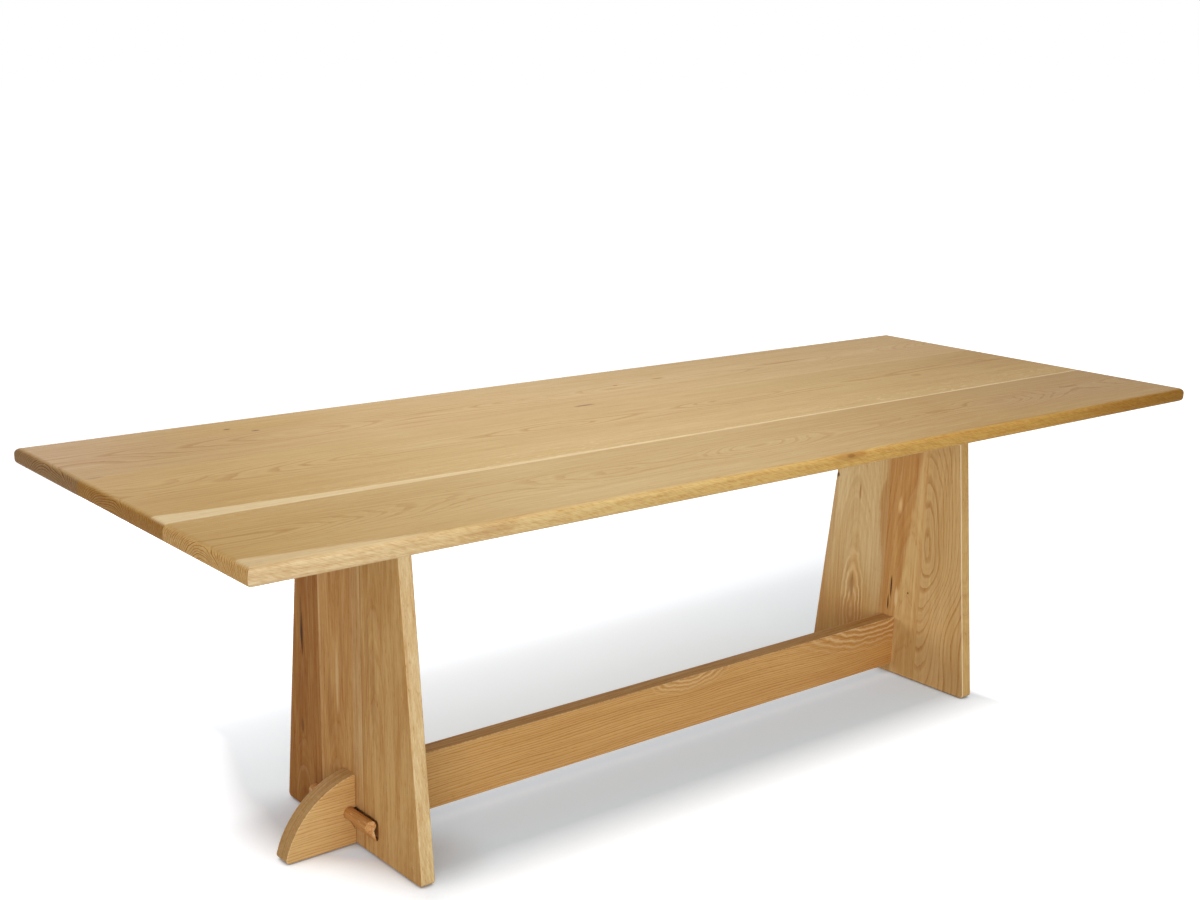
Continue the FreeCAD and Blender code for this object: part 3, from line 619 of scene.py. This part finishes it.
legFigure = {"lines": 0.24, "streak": 0.36, "late": 0.06, "cloud": 0.7, "poreShare": 0.3,
             "fibre": 0.22}
flame = {"colour": flameBrown, "ragged": 0.6, "soft": 0.7}
legBoards = {
    "leg_left_board_far": {
        "pith": (175, -690), "wander": 14, "rings": 5.0, "seed": 41.0, "lean": (0.0, 0.03),
        "tone": colour(186, 137, 74), "streak": 0.26, "lines": 0.14, "dash": 0.4, "mottle": 0.24,
        "cloud": 0.9, "fleck": 0.0,
        "patches": [
            {"at": (395, 174, leftFace), "reach": (75, 6, 12), "colour": crackBrown,
             "amount": 0.95, "ragged": 0.7, "soft": 0.4},
            {**flame, "at": (430, 178, leftFace), "reach": (60, 12, 20), "amount": 0.6},
            {**flame, "at": (300, 200, leftFace), "reach": (110, 16, 20), "amount": 0.4},
            {"at": (180, 180, leftFace), "reach": (22, 8, 12), "colour": crackBrown,
             "amount": 0.45}]},
    "leg_left_board_middle": {
        "pith": (45, -700), "wander": 14, "rings": 6.0, "seed": 47.7, "lean": (0.0, 0.02),
        "tone": colour(212, 168, 105), "streak": 0.2, "lines": 0.15, "dash": 0.4, "mottle": 0.24,
        "bands": [{"high": [(0, -14), (300, -18), (legHead, -12)],
                   "colour": colour(222, 192, 140), "amount": 0.6, "wobble": 5, "soft": 4},
                  {"low": [(0, 97), (legHead, 99)], "colour": colour(232, 202, 150),
                   "amount": 0.4, "wobble": 3, "soft": 3}],
        "patches": [{"at": (320, 40, leftFace), "reach": (90, 8, 20),
                     "colour": colour(228, 196, 144), "amount": 0.5, "soft": 0.8, "ragged": 0.4},
                    {**flame, "at": (240, 70, leftFace), "reach": (120, 12, 20), "amount": 0.35},
                    {**flame, "at": (420, 20, leftFace), "reach": (110, 9, 20), "amount": 0.35}]},
    "leg_left_board_near": {
        "pith": (-95, -715), "wander": 14, "rings": 5.4, "seed": 52.4, "lean": (0.0, 0.02),
        "tone": run((0, 225, 188, 128), (350, 219, 182, 121), (legHead, 217, 182, 119)),
        "fleck": 0.6, "streak": 0.2, "lines": 0.15, "dash": 0.4, "mottle": 0.24,
        "bands": [{"low": [(0, -53), (legHead, -52)], "colour": flameBrown, "amount": 0.35,
                   "wobble": 1, "soft": 1.5}],
        "sides": run((0, 247, 231, 183), (350, 239, 219, 172), (legHead, 237, 217, 169)),
        "patches": [{**flame, "at": (330, -92, leftFace), "reach": (130, 14, 20), "amount": 0.35},
                    {**flame, "at": (420, -74, leftFace), "reach": (90, 7, 20), "amount": 0.4},
                    # this patch is painted shade: it darkens the inside of the key's pocket to a
                    # deep warm brown
                    {"at": (57, -92, -782), "reach": (30, 34, 9), "colour": colour(150, 88, 38),
                     "amount": 0.7, "soft": 0.4, "ragged": 0.1}]},
    "leg_right_board_far": {
        "pith": (120, 870), "wander": 16, "rings": 7.0, "seed": 59.1, "lean": (0.0, 0.03),
        # the tone is darker low down: partly flame figure, partly painted shade where the leg
        # meets the stretcher
        "tone": run((0, 192, 160, 108), (140, 204, 174, 122), (290, 225, 206, 160),
                    (legHead, 227, 208, 161)), "lines": 0.14,
        "cloudTint": colour(234, 210, 168), "streak": 0.26,
        "eyes": [{"at": (130, 124), "long": 4.2, "rings": 11.0, "reach": 48, "wobble": 12}],
        "bands": [{"low": [(0, 215), (legHead, 176)], "colour": colour(190, 150, 100),
                   "amount": 0.5, "soft": 4},
                  {"high": [(0, 34), (200, 30), (330, 40), (430, 50), (500, 30), (legHead, 24)],
                   "colour": colour(192, 146, 88), "amount": 0.7, "wobble": 12, "soft": 6}],
        "patches": [
            {**flame, "at": (215, 122, rightFace), "reach": (110, 26, 30),
             "colour": colour(206, 166, 110), "amount": 0.6},
            {**flame, "at": (196, 126, rightFace), "reach": (50, 10, 20), "colour": darkFlame,
             "amount": 0.6},
            {**flame, "at": (110, 130, rightFace), "reach": (60, 70, 20),
             "colour": colour(176, 130, 78), "amount": 0.7},
            {"at": (440, 116, rightFace), "reach": (30, 4, 9), "colour": flameBrown,
             "amount": 0.7},
            {"at": (470, 192, rightFace), "reach": (8, 6, 6), "colour": crackBrown,
             "amount": 0.8}]},
    "leg_right_board_middle": {
        "pith": (-60, 930), "wander": 8, "rings": 6.0, "seed": 66.8, "lean": (0.0, 0.02),
        "tone": colour(225, 194, 136), "lines": 0.14,
        "bands": [{"low": [(0, -16), (140, -22), (400, -52), (legHead, -96)],
                   "colour": colour(196, 146, 82), "amount": 0.75, "wobble": 9, "soft": 7}],
        "patches": [
            {"at": (435, -16, rightFace), "reach": (30, 9, 9), "colour": colour(236, 198, 140),
             "amount": 0.6, "soft": 0.9},
            {"at": (222, -4, rightFace), "reach": (38, 3.5, 12), "colour": crackBrown,
             "amount": 0.95, "ragged": 0.6},
            {"at": (178, 3, rightFace), "reach": (22, 3.5, 12), "colour": crackBrown,
             "amount": 0.9, "ragged": 0.6},
            {"at": (200, -22, rightFace), "reach": (34, 7, 12), "colour": colour(236, 206, 156),
             "amount": 0.6},
            {"at": (220, -58, rightFace), "reach": (4, 3, 5), "colour": crackBrown,
             "amount": 0.9}]},
    "leg_right_board_near": {
        "pith": (385, -104, 776), "eye": 0.24, "wander": 6, "rings": 6.5, "spread": 0.02,
        "seed": 71.5, "ripple": 3.0, "lines": 0.42, "fade": 1.0, "streak": 0.15, "poreShare": 0.3,
        # this board has a painted highlight along its eased edges
        "fine": 0.06, "fleck": 0.0, "paintedHighlight": 0.6,
        "tone": run((0, 220, 187, 132), (350, 213, 181, 126), (legHead, 213, 181, 126)),
        "sides": run((0, 231, 198, 134), (350, 220, 185, 122), (legHead, 220, 186, 123)),
        "swells": [{"at": (150, -190, rightFace), "reach": (110, 60, 90), "push": 36},
                   {"at": (300, -150, rightFace), "reach": (60, 40, 60), "push": -10}]},
}

for boards, grain, shared in ((topBoards, "x", topFigure), (legBoards, "z", legFigure)):
    for node, oak in boards.items():
        dress(node, makeOak(node + "Oak", {"grain": grain, **shared, **oak}))

stretcherOak = {
    "grain": "xOnEdge", "pith": (-60, 45), "wander": 10, "rings": 5.2, "seed": 83.1,
    "ripple": 2.6, "lines": 0.46, "fade": 1.0, "fleck": 0.0, "streak": 0.2, "poreShare": 0.55,
    "fine": 0.0, "pale": 0.35,
    "tone": run((-910, 233, 200, 140), (-780, 221, 180, 116), (400, 224, 179, 113),
                (910, 203, 150, 79)),
    "rim": True, "sides": colour(204, 169, 115), "sideFade": 0.95,
    "curl": {"scale": (5.0, 5.0, 330.0), "amount": 0.3},
    "wear": {"half": 20, "width": 3, "amount": 0.6},
    "swells": [{"at": (675, 168, -20), "reach": (170, 62, 90), "push": 40},
               {"at": (80, 168, -20), "reach": (75, 50, 60), "push": 34}],
    "eyes": [{"at": (690, 192), "long": 2.7, "rings": 13.0, "reach": 124},
             {"at": (75, 182), "long": 1.9, "rings": 10.0, "reach": 84}],
}
dress("stretcher", makeOak("stretcherOak", stretcherOak))

# keys and cleats come in pairs: pith and seed are the left one's, and the right one's mirror it
seedStep = 3.0
keyOak = {"grain": "y", "pith": (-840, 20), "seed": 90.0, "rings": 2.6, "lines": 0.4,
          "fade": 1.0, "streak": 0.5, "endLines": 0.9, "tone": colour(222, 174, 112),
          "end": colour(255, 224, 172)}
cleatOak = {"grain": "y", "pith": (-735, 640), "seed": 96.0, "rings": 3.4,
            "tone": colour(212, 174, 124)}
for pair, oak in (("lock_key", keyOak), ("cleat", cleatOak)):
    across, through = oak["pith"]
    for step, (side, sign) in enumerate((("left", 1), ("right", -1))):
        node = f"{pair}_{side}"
        own = {"seed": oak["seed"] + step * seedStep, "pith": (sign * across, through)}
        dress(node, makeOak(node + "Oak", {**oak, **own}))
print("oak dressed")

metalFinish = {"metallic": 1.0, "grit": 400.0, "gritDetail": 3.0, "bump": 0.15, "cloud": 60.0,
               "cloudSpan": (0.35, 0.7), "cloudShare": (0.72, 0.72, 0.7), "roughCloud": 0.18}
hardware = {
    "zincSteel": {**metalFinish, "tone": colour(196, 196, 192), "rough": 0.28,
                  "nodes": ("cleat_screws", "top_bolts", "top_washers")},
    "insertBrass": {**metalFinish, "tone": colour(214, 182, 112), "rough": 0.3,
                    "nodes": ("threaded_inserts",)},
    "glideNylon": {"metallic": 0.0, "grit": 900.0, "gritDetail": 2.0, "bump": 0.2,
                   "cloud": 120.0, "cloudSpan": (0.4, 0.7), "roughCloud": 0.2, "rough": 0.5,
                   "tone": colour(48, 44, 40), "cloudTone": colour(72, 66, 60),
                   "nodes": ("glides",)},
}
gritDeep = 0.0002


def makePlain(name, finish):  # metal or nylon: a fine grit, and clouds duller than the rest
    material, tree = newMaterial(name)
    place = addNode(tree, "TexCoord").outputs["Object"]
    grit = noise(tree, place, scale=finish["grit"], detail=finish["gritDetail"])
    cloud = noise(tree, place, scale=finish["cloud"])
    if "cloudTone" in finish:
        cloudTone = finish["cloudTone"]
    else:
        parts = zip(finish["tone"], finish["cloudShare"])
        cloudTone = (*(part * share for part, share in parts), 1.0)
    tone = blendColour(tree, ramp(tree, cloud, *finish["cloudSpan"]), finish["tone"], cloudTone)
    bump = addNode(tree, "Bump", {"Height": grit, "Strength": finish["bump"],
                                  "Distance": gritDeep}).outputs[0]
    rough = calc(tree, "MULTIPLY_ADD", cloud, finish["roughCloud"], finish["rough"])
    setOutput(tree, addNode(tree, "BsdfPrincipled", {
        "Base Color": tone, "Metallic": finish["metallic"], "Roughness": rough, "Normal": bump}))
    return material


for name, finish in hardware.items():
    material = makePlain(name, finish)
    for node in finish["nodes"]:
        dress(node, material)
print("hardware dressed")

# from here on metres, but for the millimetres of the floor's glow, which also paints the shadow
# under the table
floorLook = {
    "half": 60.0,
    "paint": (0.76, 0.80, 0.865, 1.0),
    # the floor's own glow from the front (-y) to the back: it whitens the floor away from the
    # table, its low stretches paint the shadow's outline and depth under it, and its tint evens
    # out the warm light that the oak throws down
    "glowAndPaintedShadow": [(-450, (0.75, 0.75, 0.75, 1)), (-330, (0.71, 0.71, 0.71, 1)),
                  (-195, (0.19, 0.24, 0.27, 1)), (-50, (0.17, 0.23, 0.28, 1)),
                  (-20, (0.24, 0.27, 0.29, 1)), (400, (0.32, 0.34, 0.34, 1)),
                  (650, (0.40, 0.40, 0.39, 1)), (1100, (0.75, 0.75, 0.75, 1))],
    # where the painted shadow ends, along x: on the left behind a bulging edge, given as y and
    # how far out, and on the right behind an edge that slants away with y
    "shadowLeft": (-0.93, -0.73), "edgeGlow": 0.7,
    "leftBulge": [(-0.4, -0.12), (-0.1, 0.0), (0.1, 0.09), (0.25, 0.045), (0.6, -0.09)],
    "shadowRight": (0.77, 0.86), "rightSlant": 0.9,
    # painted shadow: darker spots round the left leg, and a thin dark line of painted contact
    # shadow where wood all but touches the floor
    "paintedShadowSpots": [{"at": (-0.84, 0.12), "reach": (0.2, 0.2), "amount": 0.65},
                 {"at": (-0.72, -0.15), "reach": (0.16, 0.14), "amount": 0.5}],
    "paintedShadowCore": 0.2,
    "contactShadowReach": 0.03, "contactShadowSpan": (0.1, 0.8),
}
white, black = (1.0, 1.0, 1.0, 1.0), (0.0, 0.0, 0.0, 1.0)
worldLight = 0.45
lamps = {
    "key": {"spot": (-3.9, -4.4, 1.25), "aim": (-0.2, -0.2, 0.45), "size": (2.6, 2.6),
            "power": 125.0},
    "fill": {"spot": (-0.3, -2.9, 0.75), "aim": (0.5, 0.0, 0.35), "size": (1.2, 1.2),
             "power": 12.0},
    "back": {"spot": (-0.6, 2.5, 0.7), "aim": (0.7, 0.0, 0.35), "size": (1.2, 1.2),
             "power": 30.0},
    "overhead": {"spot": (-0.25, -0.35, 2.6), "aim": (-0.18, 0.0, 0.75), "size": (1.6, 0.9),
                 "power": 25.0},
}
cameraView = {
    "spot": (-2.25529, -2.51998, 1.46721),
    "turn": (74.3397, -1.1511, -39.2972),
    "lens": 48.8816, "sensor": 36.0,
    "shift": (-0.00339, 0.05639),
    "clipEnd": 200.0,
}


def showsBackground(tree):  # for the camera and in reflections, never as light on the oak
    path = addNode(tree, "LightPath").outputs
    seen = calc(tree, "MAXIMUM", path["Is Camera Ray"], path["Is Glossy Ray"])
    return calc(tree, "MAXIMUM", seen, path["Is Transmission Ray"])


# the glow paints the floor's shadow: low near the table, lower still in spots by the left leg,
# full white outside the painted outline
def drawGlowAndPaintedShadow(tree, place):
    along, across = split(tree, place)[:2]
    glow = runAlong(tree, join(tree, across, 0.0, 0.0), floorLook["glowAndPaintedShadow"])
    for paintedShadowSpot in floorLook["paintedShadowSpots"]:
        offset = offsetFrom(tree, place, (*paintedShadowSpot["at"], 0.0), (*paintedShadowSpot["reach"], 1.0))
        dark = ramp(tree, vecCalc(tree, "LENGTH", offset), floorLook["paintedShadowCore"], 1.0,
                    paintedShadowSpot["amount"], 0.0)
        glow = blendColour(tree, dark, glow, black)
    leftward = calc(tree, "ADD", curve(tree, across, floorLook["leftBulge"]), along)
    behind = calc(tree, "MAXIMUM", across, 0.0)
    rightward = calc(tree, "MULTIPLY_ADD", behind, -floorLook["rightSlant"], along)
    outside = calc(tree, "MAXIMUM",
                   ramp(tree, leftward, *floorLook["shadowLeft"], floorLook["edgeGlow"], 0.0),
                   ramp(tree, rightward, *floorLook["shadowRight"]))
    return blendColour(tree, 1.0, glow, outside, mode="LIGHTEN")


def makeFloorPaint():
    material, tree = newMaterial("paleFloor")
    place = addNode(tree, "TexCoord").outputs["Object"]
    # ambient occlusion takes the glow away where wood nears the floor, which paints a thin
    # contact shadow
    contactShadow = addNode(tree, "AmbientOcclusion", {"Distance": floorLook["contactShadowReach"]}).outputs["AO"]
    seen = times(tree, showsBackground(tree), ramp(tree, contactShadow, *floorLook["contactShadowSpan"]))
    glow = addNode(tree, "Emission", {"Color": drawGlowAndPaintedShadow(tree, place), "Strength": seen})
    diffuse = addNode(tree, "BsdfDiffuse", {"Color": floorLook["paint"]})
    lit = addNode(tree, "AddShader", {0: diffuse.outputs[0], 1: glow.outputs[0]})
    below = addNode(tree, "NewGeometry").outputs["Backfacing"]  # clear from below
    clear = addNode(tree, "BsdfTransparent")
    setOutput(tree, addNode(tree, "MixShader", {0: below, 1: lit.outputs[0],
                                                2: clear.outputs[0]}))
    return material


def makeFloor():
    shape = bmesh.new()
    bmesh.ops.create_grid(shape, x_segments=1, y_segments=1, size=floorLook["half"])
    mesh = bpy.data.meshes.new("floor")
    shape.to_mesh(mesh)
    shape.free()
    floor = bpy.data.objects.new("floor", mesh)
    bpy.context.scene.collection.objects.link(floor)
    mesh.materials.append(makeFloorPaint())


def makeWorld():
    world = bpy.data.worlds.new("studio")
    bpy.context.scene.world = world
    world.use_nodes = True
    tree = world.node_tree
    tree.nodes.clear()
    strength = addNode(tree, "MapRange", {"Value": showsBackground(tree), "To Min": worldLight,
                                          "To Max": 1.0}).outputs["Result"]
    setOutput(tree, addNode(tree, "Background", {"Color": white, "Strength": strength}), "World")


def addLamp(name, look):
    lamp = bpy.data.lights.new(name, "AREA")
    lamp.energy = look["power"]
    lamp.shape = "RECTANGLE"
    lamp.size, lamp.size_y = look["size"]
    holder = bpy.data.objects.new(name, lamp)
    holder.location = look["spot"]
    facing = Vector(look["aim"]) - Vector(look["spot"])
    holder.rotation_euler = facing.to_track_quat("-Z", "Y").to_euler()
    holder.visible_camera = False
    bpy.context.scene.collection.objects.link(holder)


def makeCamera():
    camera = bpy.data.cameras.new("camera")
    camera.lens = cameraView["lens"]
    camera.sensor_width = cameraView["sensor"]
    camera.shift_x, camera.shift_y = cameraView["shift"]
    camera.clip_end = cameraView["clipEnd"]
    holder = bpy.data.objects.new("camera", camera)
    holder.location = cameraView["spot"]
    holder.rotation_euler = [math.radians(turn) for turn in cameraView["turn"]]
    bpy.context.scene.collection.objects.link(holder)
    bpy.context.scene.camera = holder


makeFloor()
makeWorld()
for lampName, look in lamps.items():
    addLamp(lampName + "Lamp", look)
makeCamera()
bpy.context.scene.view_settings.view_transform = "Standard"
print("stage ready")
